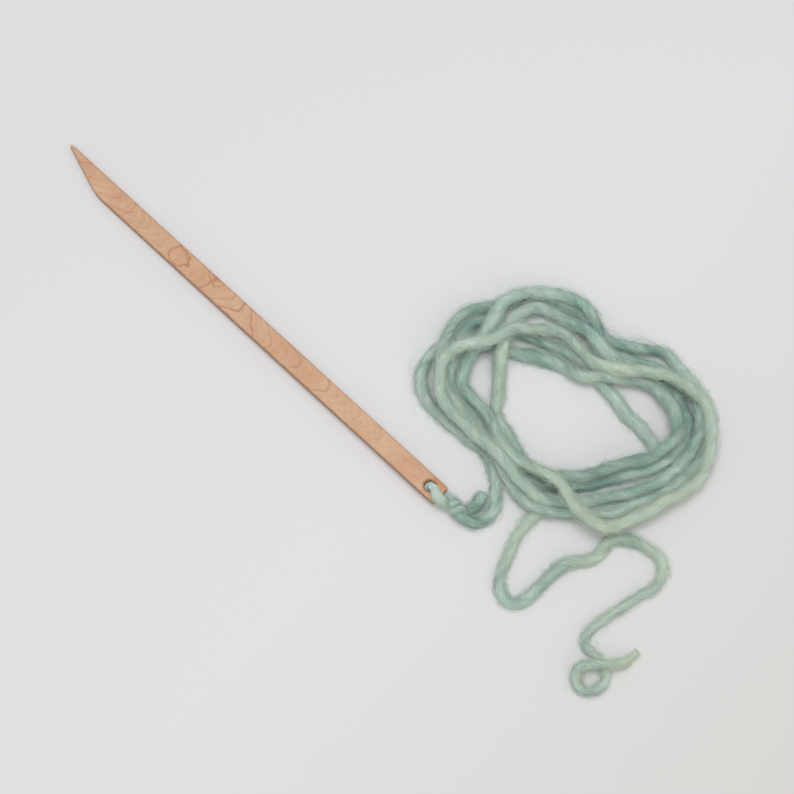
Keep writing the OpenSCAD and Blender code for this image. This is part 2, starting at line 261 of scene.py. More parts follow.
# How thick the spun wool is along that route: squeezed in the eye and the knot, fuller where it is free,
# with a slub in the tail, a thin stretch before its last loop and a tip that runs out
long_thickness = np.concatenate([
    [3.0, 3.0, 3.0, 3.1, 3.3, 3.5], [3.9, 4.0, 3.4], np.full(9, 2.9), [3.5], [3.9, 4.1, 4.2, 4.3, 4.5],
    np.full(1 + len(coil) + 1, 4.3), np.full(4, 3.6), np.full(7, 3.4), np.full(7, 4.2), np.full(4, 3.5),
    [3.1, 3.0, 2.7, 2.5, 2.2, 2.2, 2.3, 2.6, 3.0], np.full(7, 3.6), [3.0, 2.8, 2.6, 1.6, 0.8],
])


def smooth_line(points, values, step):
    """The natural cubic spline by chord length through the points, cut into even steps, with the values
    carried along it: each span is a cubic whose bends come from one set of linear equations."""
    knots = np.concatenate([[0], np.cumsum(np.linalg.norm(np.diff(points, axis=0), axis=1))])
    span = np.diff(knots)
    count = len(points)
    system, target = np.eye(count), np.zeros((count, 3))
    inner = np.arange(1, count - 1)
    system[inner, inner - 1], system[inner, inner + 1] = span[:-1] / 6, span[1:] / 6
    system[inner, inner] = (span[:-1] + span[1:]) / 3
    slope = np.diff(points, axis=0) / span[:, None]
    target[inner] = np.diff(slope, axis=0)
    bend = np.linalg.solve(system, target)
    fine = np.linspace(0, knots[-1], int(knots[-1] / (step / 8)))
    i = np.clip(np.searchsorted(knots, fine, side="right") - 1, 0, count - 2)
    h = span[i][:, None]
    p, q = (knots[i + 1] - fine)[:, None] / h, (fine - knots[i])[:, None] / h
    curve = p * points[i] + q * points[i + 1] + ((p**3 - p) * bend[i] + (q**3 - q) * bend[i + 1]) * h**2 / 6
    along = np.concatenate([[0], np.cumsum(np.linalg.norm(np.diff(curve, axis=0), axis=1))])
    even = np.linspace(0, along[-1], int(round(along[-1] / step)) + 1)
    line = np.stack([np.interp(even, along, curve[:, axis]) for axis in range(3)], axis=1)
    return line, np.interp(np.interp(even, along, fine), knots, values), even


def unit(vectors):
    """Vectors divided by their lengths."""
    return vectors / np.maximum(np.linalg.norm(vectors, axis=-1), 1e-6)[..., None]


# This share of -Y keeps across from vanishing where a line stands upright
UPRIGHT_LEAN = 0.05


def across_and_up(line):
    """The nearly level direction across a line at each of its points, which is the heading turned by a
    quarter and made square to it, and the direction that is square to both."""
    along = unit(np.gradient(line, axis=0))
    across = np.stack([along[:, 1], -along[:, 0] - UPRIGHT_LEAN, 0 * along[:, 0]], axis=1)
    across = unit(across - (across * along).sum(1)[:, None] * along)
    return across, np.cross(across, along)


def easy(share):
    """The curve 3 s squared minus 2 s cubed, which starts and ends level."""
    return share * share * (3 - 2 * share)


def wander(at, run, seed):
    """A smooth random wave along a length: random heights every run, joined by easy curves, about -1 to 1."""
    heights = np.random.default_rng(seed).uniform(-1, 1, int(np.max(at) / run) + 3)
    i = np.floor(at / run).astype(int)
    f = easy(at / run - i)
    return heights[i] * (1 - f) + heights[i + 1] * f


def rovings(along, turn, bundles, run, seed):
    """Smooth random ridges round a strand that run along its fibres: random heights at every run of length
    and at a number of bundles round, joined by easy curves both ways and closed round the strand."""
    rows = int(np.max(along) / run) + 3
    heights = np.random.default_rng(seed).uniform(-1, 1, (rows, bundles))
    i, j = np.floor(along / run).astype(int), np.floor(turn * bundles).astype(int)
    f, g = easy(along / run - i), easy(turn * bundles - j)
    j, k = j % bundles, (j + 1) % bundles
    return ((heights[i, j] * (1 - g) + heights[i, k] * g) * (1 - f)
            + (heights[i + 1, j] * (1 - g) + heights[i + 1, k] * g) * f)


STEP, SIDES = 1.0, 28
# The wool winds once round in this length
TWIST_LENGTH = 20.0
# Thick and thin places, as a share of the thickness and the run that they change in
UNEVEN, UNEVEN_RUN = (0.17, 0.08), (23, 8)
# The ridges of the rovings: how far they stand out as a share, how many lie round the strand, and their run
RIDGE_DEPTH, RIDGE_COUNT, RIDGE_RUN = (0.11, 0.07), (4, 9), (15, 11)
# The strand sways from side to side, but not in the eye and the knot
SWAY, SWAY_RUN, SWAY_FROM, SWAY_EASE = 0.8, 10, 60, 20
TIP_LENGTH, TIP_SHARE = 1.0, 0.1
PRESSED_FLAT, MOST_RAISED = 0.1, 0.6


class Strand:
    """One spun strand: its middle line, directions and half thickness at even steps, in millimetres."""

    def __init__(self, route, thickness, seed):
        self.line, self.half, self.along = smooth_line(route, thickness, STEP)
        uneven = sum(share * wander(self.along, run, seed + i)
                     for i, (share, run) in enumerate(zip(UNEVEN, UNEVEN_RUN)))
        rounded = 1 - np.clip((self.along[-1] - self.along) / TIP_LENGTH, 0, 1)
        self.half = self.half / 2 * (1 + uneven) * (TIP_SHARE + (1 - TIP_SHARE) * np.sqrt(1 - rounded**2))
        sway = SWAY * wander(self.along, SWAY_RUN, seed + 8)
        sway = sway * np.clip((self.along - SWAY_FROM) / SWAY_EASE, 0, 1)
        self.line += sway[:, None] * across_and_up(self.line)[0]
        height = self.line[:, 2]
        self.line[:, 2] = np.maximum(height, np.minimum(self.half - PRESSED_FLAT, height + MOST_RAISED))
        self.across, self.up = across_and_up(self.line)
        self.seed = seed

    def surface(self, along, turn):
        """How far the wool reaches from the middle line: the half thickness, with the ridges of its rovings,
        which wind once round in a twist length."""
        wound = (turn + along / TWIST_LENGTH) % 1
        ridges = sum(depth * rovings(along, wound, count, run, self.seed + 2 + i)
                     for i, (depth, count, run) in enumerate(zip(RIDGE_DEPTH, RIDGE_COUNT, RIDGE_RUN)))
        return np.interp(along, self.along, self.half) * (1 + ridges)

    def place(self, along, turn, reach):
        """Points at a distance along the strand, a share of a turn round it and a reach from its middle:
        the middle, plus the reach times the cosine across and the sine up."""
        def pick(field):
            return np.stack([np.interp(along, self.along, field[:, axis]) for axis in range(3)], axis=-1)
        angle = 2 * np.pi * turn[..., None]
        outward = np.cos(angle) * pick(self.across) + np.sin(angle) * pick(self.up)
        return pick(self.line) + reach[..., None] * outward


long_strand = Strand(long_route + [eye_x, 0, 0], long_thickness, seed=11)

POINTS_AT_ONCE, OWN_STRETCH = 4000, 12
TABLE_GAP = 0.02


def press_apart(points, owner, line, others):
    """Wool gives where strands touch: a point that is past the middle between its own line and the nearest
    other stretch of wool is moved back to that middle."""
    moved = points.copy()
    for start in range(0, len(points), POINTS_AT_ONCE):
        part = slice(start, start + POINTS_AT_ONCE)
        p, own = points[part], owner[part]
        far = ((p[:, None] - others["middle"][None]) ** 2).sum(2)
        same = np.abs(others["ring"][None] - own[:, None]) * STEP < OWN_STRETCH
        far[same & others["own"][None]] = np.inf
        middle = line[own]
        apart = others["middle"][far.argmin(1)] - middle
        distance = np.maximum(np.linalg.norm(apart, axis=1), 1e-6)
        push = ((p - middle) * apart).sum(1) / distance - distance / 2
        moved[part] = p - apart / distance[:, None] * np.maximum(push, 0)[:, None]
    return moved


def strand_grid(strand, others):
    """The strand's skin as a grid of points, one row for each step along it and one column for each side."""
    rows = np.arange(len(strand.along))
    along = np.repeat(strand.along[:, None], SIDES, axis=1)
    turn = np.repeat(np.arange(SIDES)[None] / SIDES, len(rows), axis=0)
    points = strand.place(along, turn, strand.surface(along, turn))
    flat = press_apart(points.reshape(-1, 3), np.repeat(rows, SIDES), strand.line, others)
    flat[:, 2] = np.maximum(flat[:, 2], TABLE_GAP)
    return flat.reshape(points.shape), along, turn


def new_piece(name, points, faces, material):
    """A mesh object in metres at the origin, shaded smooth, that rides on the one body."""
    mesh = bpy.data.meshes.new(name)
    mesh.from_pydata((points * MM).tolist(), [], faces)
    mesh.shade_smooth()
    mesh.materials.append(material)
    piece = bpy.data.objects.new(name, mesh)
    bpy.context.scene.collection.objects.link(piece)
    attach(piece, "root")
    return piece


def give_attribute(mesh, name, values):
    """Stores a number or a vector for each point of a mesh."""
    values = np.ascontiguousarray(values, np.float32)
    kind, field = ("FLOAT", "value") if values.ndim == 1 else ("FLOAT_VECTOR", "vector")
    mesh.attributes.new(name, kind, "POINT").data.foreach_set(field, values.ravel())


def wall_faces(first, second, sides):
    """Four-cornered faces between each row of points and the next, from the numbers of the two points at
    the start of each face and the count of points in a row."""
    return np.stack([first, first + sides, second + sides, second], axis=-1).reshape(-1, 4)


def wall_map(near, far, below, above):
    """The places in the picture of the four corners of each of those faces, in the same order."""
    corners = np.broadcast_arrays(near, below, far, below, far, above, near, above)
    return np.stack(corners, axis=-1).reshape(-1, 2)


# How deep the dye is, from 0 for pale to 1 for dark, and how yellow, at distances along the long strand
DYE_STOPS = [
    (0, 0.2), (14, 0.2), (20, 0.5), (30, 0.68), (39, 0.72), (48, 0.4), (60, 0.35), (120, 0.45), (160, 0.7),
    (200, 0.45), (250, 0.5), (282, 0.75), (305, 0.6), (332, 0.8), (356, 0.3), (400, 0.3), (430, 0.45),
    (490, 0.7), (540, 0.5), (588, 0.65), (606, 0.3), (725, 0.3), (745, 0.5), (762, 0.3), (828, 0.3),
    (860, 0.25), (928, 0.25), (955, 0.45), (985, 0.6), (1030, 0.55), (1052, 0.4), (1080, 0.7), (1120, 0.45),
    (1300, 0.35), (1368, 0.7), (1410, 0.45), (1465, 0.7), (1500, 0.5), (1533, 0.75), (1575, 0.35),
    (1672, 0.6), (1720, 0.4), (1800, 0.35), (1828, 0.05), (1858, 0.5), (1868, 0.25), (1884, 0.55),
    (1900, 0.1), (1922, 0.4), (1941, 0.05), (1964, 0.35), (1976, 0.1), (1990, 0.5), (2003, 0.2),
    (2013, 0.45), (2035, 0.25), (2061, 0.2),
]
YELLOW_STOPS = [
    (0, 0.2), (340, 0.3), (370, 0.5), (420, 0.2), (480, 0.1), (600, 0.35), (740, 0.35), (765, 0.65),
    (790, 0.6), (825, 0.4), (850, 0.75), (910, 0.75), (945, 0.4), (990, 0.1), (1250, 0.3), (1480, 0.1),
    (1800, 0.2), (1830, 0.5), (1860, 0.1), (1910, 0.6), (1960, 0.3), (2030, 0.3), (2061, 1.0),
]
# Patches of deeper and paler dye, in the rovings and along the whole strand
ROVING_PATCH, ROVING_COUNT, ROVING_RUN = 0.24, 4, 13
STRAND_PATCH, STRAND_RUN = 0.12, 17


def stops_along(stops, along):
    """The value at distances along a strand, in even steps between the stops given."""
    at, value = np.array(stops, float).T
    return np.interp(along, at, value)


def colour_points(mesh, strand, along, wound, shift, fibre):
    """Keeps on a mesh how deep and how yellow its wool is dyed, in patches that follow the roving, and the
    place in the streaks of each of its points."""
    patches = (ROVING_PATCH * rovings(along, wound % 1, ROVING_COUNT, ROVING_RUN, strand.seed + 4)
               + STRAND_PATCH * wander(along, STRAND_RUN, strand.seed + 5))
    give_attribute(mesh, "dye", (stops_along(DYE_STOPS, along) + patches + shift).ravel())
    give_attribute(mesh, "yellow", stops_along(YELLOW_STOPS, along).ravel())
    give_attribute(mesh, "fibre", fibre.reshape(-1, 3))


def add_math(tree, operation, first, second=0.0):
    """The result of one sum or function of two values."""
    return add_node(tree, "Math", {0: first, 1: second}, operation=operation).outputs[0]


def add_noise(tree, place, scale, detail):
    """A cloudy random value of about 0.3 to 0.7, whose clouds are about one over the scale wide."""
    return add_node(tree, "TexNoise", {"Vector": place, "Scale": scale, "Detail": detail}).outputs["Fac"]


def add_ramp(tree, factor, stops):
    """A colour ramp over a value, with its stops given as positions and colours."""
    ramp = add_node(tree, "ValToRGB", {"Fac": factor})
    elements = ramp.color_ramp.elements
    elements.remove(elements[1])
    elements[0].position, elements[0].color = stops[0]
    for position, colour in stops[1:]:
        elements.new(position).color = colour
    return ramp.outputs["Color"]


# The dye from pale to deep, and the tint of its yellow patches
WOOL_DYES = [(0.0, linear(224, 241, 229)), (0.3, linear(216, 235, 225)), (0.65, linear(177, 208, 197)),
             (1.0, linear(130, 171, 160))]
YELLOW_WOOL = linear(224, 226, 195)


def spun_colour():
    """A node group: the colour of spun wool from how deep and how yellow it is dyed and from noise that is
    drawn out along its fibres, and the height of the same noise."""
    group = bpy.data.node_groups.new("spun wool colour", "ShaderNodeTree")
    for name, way, kind in (("Dye", "INPUT", "Float"), ("Yellow", "INPUT", "Float"),
                            ("Streak", "INPUT", "Float"), ("Fibre", "INPUT", "Vector"),
                            ("Color", "OUTPUT", "Color"), ("Height", "OUTPUT", "Float")):
        group.interface.new_socket(name, in_out=way, socket_type="NodeSocket" + kind)
    given, out = group.nodes.new("NodeGroupInput"), group.nodes.new("NodeGroupOutput")
    fibre = given.outputs["Fibre"]
    broad_streaks, fine_streaks = add_noise(group, fibre, 0.8, 2.0), add_noise(group, fibre, 3.4, 3.0)
    streaks = add_math(group, "ADD", broad_streaks, fine_streaks)
    streak = add_math(group, "MULTIPLY", add_math(group, "SUBTRACT", streaks, 1.0), given.outputs["Streak"])
    dyed = add_ramp(group, add_math(group, "ADD", given.outputs["Dye"], streak), WOOL_DYES)
    patch = add_range(group, add_noise(group, fibre, 0.5, 1.0), 0.35, 0.65)
    yellow = add_math(group, "MULTIPLY", patch, given.outputs["Yellow"])
    group.links.new(add_mix(group, yellow, dyed, YELLOW_WOOL), out.inputs["Color"])
    group.links.new(streaks, out.inputs["Height"])
    return group


wool_colour = spun_colour()


def wool_material(name, streak, bump, **values):
    """Wool that takes its colour from the piece's own dye, yellow and fibre attributes."""
    material, tree, shader = new_material(name, **values)
    colour = tree.nodes.new("ShaderNodeGroup")
    colour.node_tree = wool_colour
    for kept, read, given in (("dye", "Fac", "Dye"), ("yellow", "Fac", "Yellow"),
                              ("fibre", "Vector", "Fibre")):
        attribute = add_node(tree, "Attribute", attribute_name=kept)
        tree.links.new(attribute.outputs[read], colour.inputs[given])
    colour.inputs["Streak"].default_value = streak
    tree.links.new(colour.outputs["Color"], shader.inputs["Base Color"])
    if bump:
        raised = add_node(tree, "Bump", {"Height": colour.outputs["Height"], "Distance": bump,
                                         "Strength": 0.8})
        tree.links.new(raised.outputs["Normal"], shader.inputs["Normal"])
    return material


spun_wool = wool_material("spun wool", streak=0.5, bump=0.0006, Roughness=0.95, Sheen_Weight=0.3,
                          Sheen_Roughness=0.6, Specular_IOR_Level=0.1, Subsurface_Weight=0.5,
                          Subsurface_Scale=0.002)
wool_fibre = wool_material("wool fibre", streak=0.35, bump=0, Roughness=0.9, Sheen_Weight=0.12,
                           Sheen_Roughness=0.6, Specular_IOR_Level=0.1)

# The streaks of the skin: how wide their noise is round the strand, its run along it, and how the fibres
# stray from the twist
STREAKS_ROUND, STREAK_RUN = 2.8, 9
STRAND_STRAY, STRAY_RUN = 0.05, 9
ROVING_STRAY, STRAY_COUNT, STRAY_ROVING_RUN = 0.03, 5, 7
# The picture map: steps in each section of length, and the margin between two sections
SECTION, SECTION_MARGIN = 190, 0.05
CAP_PLACE = 0.001


def strand_piece(name, strand, others):
    """The strand's skin as a closed tube, with its dye and the run of its fibres kept on its points, and a
    picture map that lays its sections of length one above the other."""
    grid, along, turn = strand_grid(strand, others)
    rows = len(grid)
    row, side = np.arange(rows - 1)[:, None], np.arange(SIDES)[None]
    walls = wall_faces(row * SIDES + side, row * SIDES + (side + 1) % SIDES, SIDES)
    caps = [list(range(SIDES)), list(range((rows - 1) * SIDES, rows * SIDES))[::-1]]
    piece = new_piece(name, grid.reshape(-1, 3), walls.tolist() + caps, spun_wool)
    wound = turn + along / TWIST_LENGTH
    strayed = (wound + STRAND_STRAY * wander(along, STRAY_RUN, strand.seed + 6)
               + ROVING_STRAY * rovings(along, wound % 1, STRAY_COUNT, STRAY_ROVING_RUN, strand.seed + 7))
    angle = 2 * np.pi * strayed
    fibre = np.stack([STREAKS_ROUND * np.cos(angle), STREAKS_ROUND * np.sin(angle), along / STREAK_RUN],
                     axis=-1)
    colour_points(piece.data, strand, along, wound, 0, fibre)

    sections = (rows - 2) // SECTION + 1
    high = 1 - 2 * SECTION_MARGIN
    near = row % SECTION / SECTION
    below = (row // SECTION + SECTION_MARGIN + high * side / SIDES) / sections
    walls_map = wall_map(near, near + 1 / SECTION, below, below + high / SIDES / sections)
    caps_map = np.full((2 * SIDES, 2), CAP_PLACE)
    picture = piece.data.uv_layers.new(name="OFBake")
    picture.data.foreach_set("uv", np.vstack([walls_map, caps_map]).ravel())
    return piece


FIBRE_SIDES, FIBRE_FLATNESS, FIBRE_ENDS = 3, 0.5, 0.06
FIBRE_TABLE_GAP = 0.05
# No fibre stands off the skin inside the eye
LIFT_FROM, LIFT_EASE = 5, 8
# Each fibre has its own place in the streaks
OWN_STREAK, STREAK_PLACES = 0.37, 7.3
CELL_MARGIN = 0.1


def fibre_piece(name, strand, others, fibres):
    """Thin three-sided fibres on a strand's skin. Each has a row of distances along the strand, of shares of
    a turn and of lifts off the skin, a half width and a shift of its dye; it narrows towards both ends. The
    picture map gives each fibre one cell of a square grid."""
    along, turn, lift, width, shift = fibres
    count, points = along.shape
    reach = strand.surface(along, turn) + lift * np.clip((along - LIFT_FROM) / LIFT_EASE, 0, 1)
    middle = strand.place(along, turn, reach)
    outward = middle - strand.place(along, turn, 0 * reach)
    owner = np.round(along / STEP).astype(int).ravel()
    middle = press_apart(middle.reshape(-1, 3), owner, strand.line, others).reshape(middle.shape)
    middle[..., 2] = np.maximum(middle[..., 2], FIBRE_TABLE_GAP + width)
    heading = np.gradient(middle, axis=1)
    sideways = unit(np.cross(heading, outward))
    rise = unit(np.cross(sideways, heading))
    run = np.linspace(FIBRE_ENDS, 1 - FIBRE_ENDS, points)[None]
    half = (width * np.sqrt(np.sin(np.pi * run)))[..., None, None]
    corner = 2 * np.pi * np.arange(FIBRE_SIDES)[:, None] / FIBRE_SIDES
    skin = middle[:, :, None] + half * (np.cos(corner) * sideways[:, :, None]
                                        + FIBRE_FLATNESS * np.sin(corner) * rise[:, :, None])
    skin[..., 2] = np.maximum(skin[..., 2], TABLE_GAP)

    first = (np.arange(count) * points * FIBRE_SIDES)[:, None, None]
    step, side = np.arange(points - 1)[None, :, None], np.arange(FIBRE_SIDES)[None, None]
    row = first + step * FIBRE_SIDES
    walls = wall_faces(row + side, row + (side + 1) % FIBRE_SIDES, FIBRE_SIDES)
    start = first[:, 0] + side[0]
    end = first[:, 0] + (points - 1) * FIBRE_SIDES + side[0, :, ::-1]
    piece = new_piece(name, skin.reshape(-1, 3), walls.tolist() + start.tolist() + end.tolist(), wool_fibre)
    spread = np.broadcast_to(along[..., None], (count, points, FIBRE_SIDES))
    own_place = np.broadcast_to(np.arange(count)[:, None, None] * OWN_STREAK, spread.shape)
    colour_points(piece.data, strand, spread, (turn + along / TWIST_LENGTH)[..., None], shift[..., None],
                  np.stack([own_place, own_place % STREAK_PLACES, spread / STREAK_RUN], axis=-1))

    cells = int(np.ceil(np.sqrt(count)))
    left = (np.arange(count) % cells)[:, None, None] + CELL_MARGIN
    low = (np.arange(count) // cells)[:, None, None] + CELL_MARGIN
    wide = 1 - 2 * CELL_MARGIN
    walls_map = wall_map(left + wide * step / (points - 1), left + wide * (step + 1) / (points - 1),
                         low + wide * side / FIBRE_SIDES, low + wide * (side + 1) / FIBRE_SIDES)
    corners = np.stack(np.broadcast_arrays(left, low), axis=-1)
    caps_map = np.broadcast_to(corners, (count, 1, FIBRE_SIDES, 2)).reshape(-1, 2)
    picture = piece.data.uv_layers.new(name="OFBake")
    picture.data.foreach_set("uv", (np.vstack([walls_map, caps_map, caps_map]) / cells).ravel())
    return piece


# Lying fibres: their points and run, how much less or more than the strand they wind, and how far they wave
LYING_POINTS, LYING_RUN, LYING_WIND, LYING_WAVE = 8, (6, 18), (0.6, 1.3), 0.03
LYING_START = -10
LYING_TUCK, LYING_RISE = 0.12, 0.7
LYING_WIDTH, LYING_SHIFT = (0.08, 0.18), 0.25


def lying_fibres(strand, count, seed):
    """Fibres that lie on the skin and follow the twist, some a little steeper, with both ends tucked in:
    the lift is half a sine wave less the tuck."""
    rng = np.random.default_rng(seed)
    one = (count, 1)
    share = np.linspace(0, 1, LYING_POINTS)[None]
    run = rng.uniform(*LYING_RUN, one)
    along = np.clip(rng.uniform(LYING_START, strand.along[-1], one) + run * share, 0, strand.along[-1])
    turn = rng.uniform(0, 1, one) - run * share / TWIST_LENGTH * rng.uniform(*LYING_WIND, one)
    turn += rng.uniform(-LYING_WAVE, LYING_WAVE, (count, LYING_POINTS))
    rise = LYING_TUCK + LYING_RISE * rng.uniform(0, 1, one)**2
    lift = rise * np.sin(np.pi * share) - LYING_TUCK
    return along, turn, lift, rng.uniform(*LYING_WIDTH, one), rng.uniform(-LYING_SHIFT, LYING_SHIFT, one)


# Loose hairs: their points and shortest run, how far they turn and curl round the strand, and their widths
HAIR_POINTS, SHORTEST_HAIR, HAIR_TURN, HAIR_CURL = 5, 2, 0.15, 0.12
LOWEST_HAIR, HAIR_ROOT = 0.5, 0.05
HAIR_WIDTH, HAIR_SHIFT = (0.06, 0.1), (-0.2, 0.15)


def loose_hairs(strand, count, longest, highest, seed):
    """Fine hairs that stand off the skin: half of them bend back into it along half a sine wave, and half
    rise slowly and end free. Most stay low."""
    rng = np.random.default_rng(seed)
    one = (count, 1)
    share = np.linspace(0, 1, HAIR_POINTS)[None]
    run = rng.uniform(SHORTEST_HAIR, longest, one) * rng.choice([-1, 1], one)
    along = np.clip(rng.uniform(0, strand.along[-1], one) + run * share, 0, strand.along[-1])
    turn = rng.uniform(0, 1, one) + rng.uniform(-HAIR_TURN, HAIR_TURN, one) * share
    turn += rng.uniform(-HAIR_CURL, HAIR_CURL, one) * share**2
    height = LOWEST_HAIR + (highest - LOWEST_HAIR) * rng.uniform(0, 1, one)**1.5
    bent = rng.uniform(0, 1, one) < 0.5
    lift = height * np.where(bent, np.sin(np.pi * share), share**1.2) - HAIR_ROOT
    return along, turn, lift, rng.uniform(*HAIR_WIDTH, one), rng.uniform(*HAIR_SHIFT, one)


# --- The needle ----------------------------------------------------------------------------------
# A strip of hard maple with its slanting point and eye cut by heat: the faces are pale, figured with dark
# growth lines that cross the strip in waves, and the cut sides and the wall of the eye are toasted brown.
HALF_SPAN = 115.0
# Along the needle: how far the growth lines lean across it, and how much they bow
MOST_LEAN, MOST_BOW = 2.0, 1.0
FIGURE_STOPS = [
    (-105, 1.5, 0), (-90, 1.6, 0.05), (-80, 1.1, 0.25), (-70, 0.8, 0.35), (-58, 0.3, 0.4), (-47, -0.1, -0.3),
    (-38, -0.4, 0.8), (-33, -0.2, 0.05), (-20, 0.65, 0.1), (-10, 1.4, 0.25), (-2, -0.4, 0.1), (5, -1.7, 0),
    (15, -1, 0.3), (36, 0.4, 0.25), (52, 0.7, 0.2), (86, 0.7, 0.6), (115, 0.5, 0.3),
]
# The growth lines: where each one crosses the middle of the needle, and how dark it is. One colour ramp
# takes no more than seven of them.
LINES_PER_RAMP = 7
GROWTH_LINES = [
    (-105, 0.7), (-93, 0.7), (-79.5, 0.9), (-69.8, 0.9), (-58, 0.7), (-33.2, 0.8), (-19.6, 0.9),
    (-9.5, 0.8), (-1.7, 1.0), (5.5, 0.8), (19.3, 0.9), (36.3, 0.9), (52.5, 0.9), (86, 1.0),
]
# Each line darkens slowly and ends sharply: distances before and past it, and the share of its darkness
LINE_EDGE = ((-1.5, 0.0), (-0.5, 0.45), (-0.1, 1.0), (0.25, 0.0))
RING_EDGE = ((-1.2, 0.0), (-0.4, 0.4), (-0.1, 1.0), (0.25, 0.0))
# Where growth rings close: their middle, how they are squeezed along the needle, their radii and depth
CLOSED_RINGS = [((-24.0, 5.5), 1.0, (3.8, 6.6), 0.8), ((-43.3, -0.1), 0.68, (5.3,), 1.0)]
WIDEST_RING = 10.0
RIPPLE_LOW, RIPPLE_HIGH = 0.2, 0.8
LINE_RIPPLE, RING_RIPPLE = 3.0, 3.2
# Fainter lines lie close together between them
CLOSE_LINES, CLOSE_SHARPNESS, CLOSE_DEPTH = 48.0, 3.0, 0.2
PALE_WOOD, WARM_WOOD, FLECKED_WOOD = linear(216, 178, 147), linear(206, 163, 129), linear(190, 144, 110)
DARK_LINE, ORANGE_BROWN_WOOD = linear(170, 108, 70), linear(186, 112, 62)
SCORCHED_WOOD, CUT_WOOD = linear(122, 76, 46), linear(168, 124, 92)


def dark_lines(tree, value, low, high, marks, edge):
    """How dark the lines are at a value that is 0 to 1 for low to high: black, but for one line at each
    mark, which is given by its place and its darkness."""
    stops = [(0.0, (0, 0, 0, 1))]
    for at, depth in marks:
        for shift, share in edge:
            stops.append(((at + shift - low) / (high - low), (share * depth,) * 3 + (1,)))
    return add_ramp(tree, value, stops)


def closed_rings(tree, place, ripple, middle, squeeze, radii, depth):
    """How dark the growth rings are that close round a point, drawn out along the needle by a squeeze."""
    flat = add_node(tree, "VectorMath", {0: place, 1: (squeeze, 1.0, 0.0)}, operation="MULTIPLY").outputs[0]
    centre = (middle[0] * squeeze, middle[1], 0.0)
    way = add_node(tree, "VectorMath", {0: flat, 1: centre}, operation="DISTANCE").outputs["Value"]
    way = add_math(tree, "ADD", way, add_range(tree, ripple, RIPPLE_LOW, RIPPLE_HIGH, RING_RIPPLE))
    marks = [(radius, depth) for radius in radii]
    return dark_lines(tree, add_range(tree, way, 0.0, WIDEST_RING), 0.0, WIDEST_RING, marks, RING_EDGE)


maple, tree, shader = new_material("maple", Roughness=0.55, Specular_IOR_Level=0.3)
place = add_node(tree, "VectorMath", {0: add_node(tree, "TexCoord").outputs["Object"], "Scale": 1 / MM},
                 operation="SCALE").outputs[0]
axes = add_node(tree, "SeparateXYZ", {0: place})
x, y, z = axes.outputs[0], axes.outputs[1], axes.outputs[2]
figure = add_ramp(tree, add_range(tree, x, -HALF_SPAN, HALF_SPAN), [
    ((at + HALF_SPAN) / HALF_SPAN / 2,
     ((lean + MOST_LEAN) / MOST_LEAN / 2, (bow + MOST_BOW) / MOST_BOW / 2, 0, 1))
    for at, lean, bow in FIGURE_STOPS])
figure = add_node(tree, "SeparateColor", {0: figure})
lean = add_math(tree, "MULTIPLY_ADD", figure.outputs[0], 2 * MOST_LEAN)
lean.node.inputs[2].default_value = -MOST_LEAN
bow = add_math(tree, "MULTIPLY_ADD", figure.outputs[1], 2 * MOST_BOW)
bow.node.inputs[2].default_value = -MOST_BOW
# The growth at a place: its X, less the lean times Y, plus the bow times Y squared, a ripple and the depth
RIPPLE_MIDDLE, GROWTH_DEPTH = 4, 1.5
ripple = add_noise(tree, place, 0.3, 4.0)
growth = add_math(tree, "SUBTRACT", x, add_math(tree, "MULTIPLY", lean, y))
growth = add_math(tree, "ADD", growth, add_math(tree, "MULTIPLY", bow, add_math(tree, "MULTIPLY", y, y)))
growth = add_math(tree, "ADD", growth, add_range(tree, ripple, RIPPLE_LOW, RIPPLE_HIGH, LINE_RIPPLE))
growth = add_math(tree, "ADD", growth, add_math(tree, "MULTIPLY", z, GROWTH_DEPTH))
growth = add_range(tree, growth, -HALF_SPAN + RIPPLE_MIDDLE, HALF_SPAN + RIPPLE_MIDDLE)
close = add_math(tree, "FRACT", add_range(tree, growth, 0.0, 1.0, CLOSE_LINES))
lines = add_math(tree, "MULTIPLY", add_math(tree, "POWER", close, CLOSE_SHARPNESS), CLOSE_DEPTH)
for marks in (GROWTH_LINES[:LINES_PER_RAMP], GROWTH_LINES[LINES_PER_RAMP:]):
    darker = dark_lines(tree, growth, -HALF_SPAN, HALF_SPAN, marks, LINE_EDGE)
    lines = add_math(tree, "MAXIMUM", lines, darker)
for middle, squeeze, radii, depth in CLOSED_RINGS:
    darker = closed_rings(tree, place, ripple, middle, squeeze, radii, depth)
    lines = add_math(tree, "MAXIMUM", lines, darker)
# Short flecks drawn out along the needle, broad clouds, and the marks of the heat
stretched = add_node(tree, "VectorMath", {0: place, 1: (0.4, 2.2, 2.2)}, operation="MULTIPLY").outputs[0]
flecks = add_noise(tree, stretched, 1.0, 4.0)
cloud = add_noise(tree, place, 0.09, 2.0)
wood = add_mix(tree, add_range(tree, cloud, 0.3, 0.7), PALE_WOOD, WARM_WOOD)
wood = add_mix(tree, add_range(tree, flecks, 0.45, 0.7, 0.5), wood, FLECKED_WOOD)
wood = add_mix(tree, add_math(tree, "MULTIPLY", lines, 0.9), wood, DARK_LINE)
eye_place = add_node(tree, "VectorMath", {0: place, 1: (1.0, 1.0, 0.0)}, operation="MULTIPLY").outputs[0]
eye_way = add_node(tree, "VectorMath", {0: eye_place, 1: (float(eye_x), 0.0, 0.0)},
                   operation="DISTANCE").outputs["Value"]
edge = add_range(tree, add_math(tree, "ABSOLUTE", y), 3.9, 4.8, 0.45)
scorch = add_math(tree, "MAXIMUM", edge, add_range(tree, eye_way, 3.7, 2.7, 0.8))
scorch = add_math(tree, "MULTIPLY", scorch, add_range(tree, flecks, 0.2, 0.55))
# An orange-brown patch on the face just before the eye, on its +Y side
orange_brown_patch = add_math(tree, "MULTIPLY", add_range(tree, x, 104.0, 108.0), add_range(tree, y, 1.2, 3.4, 0.5))
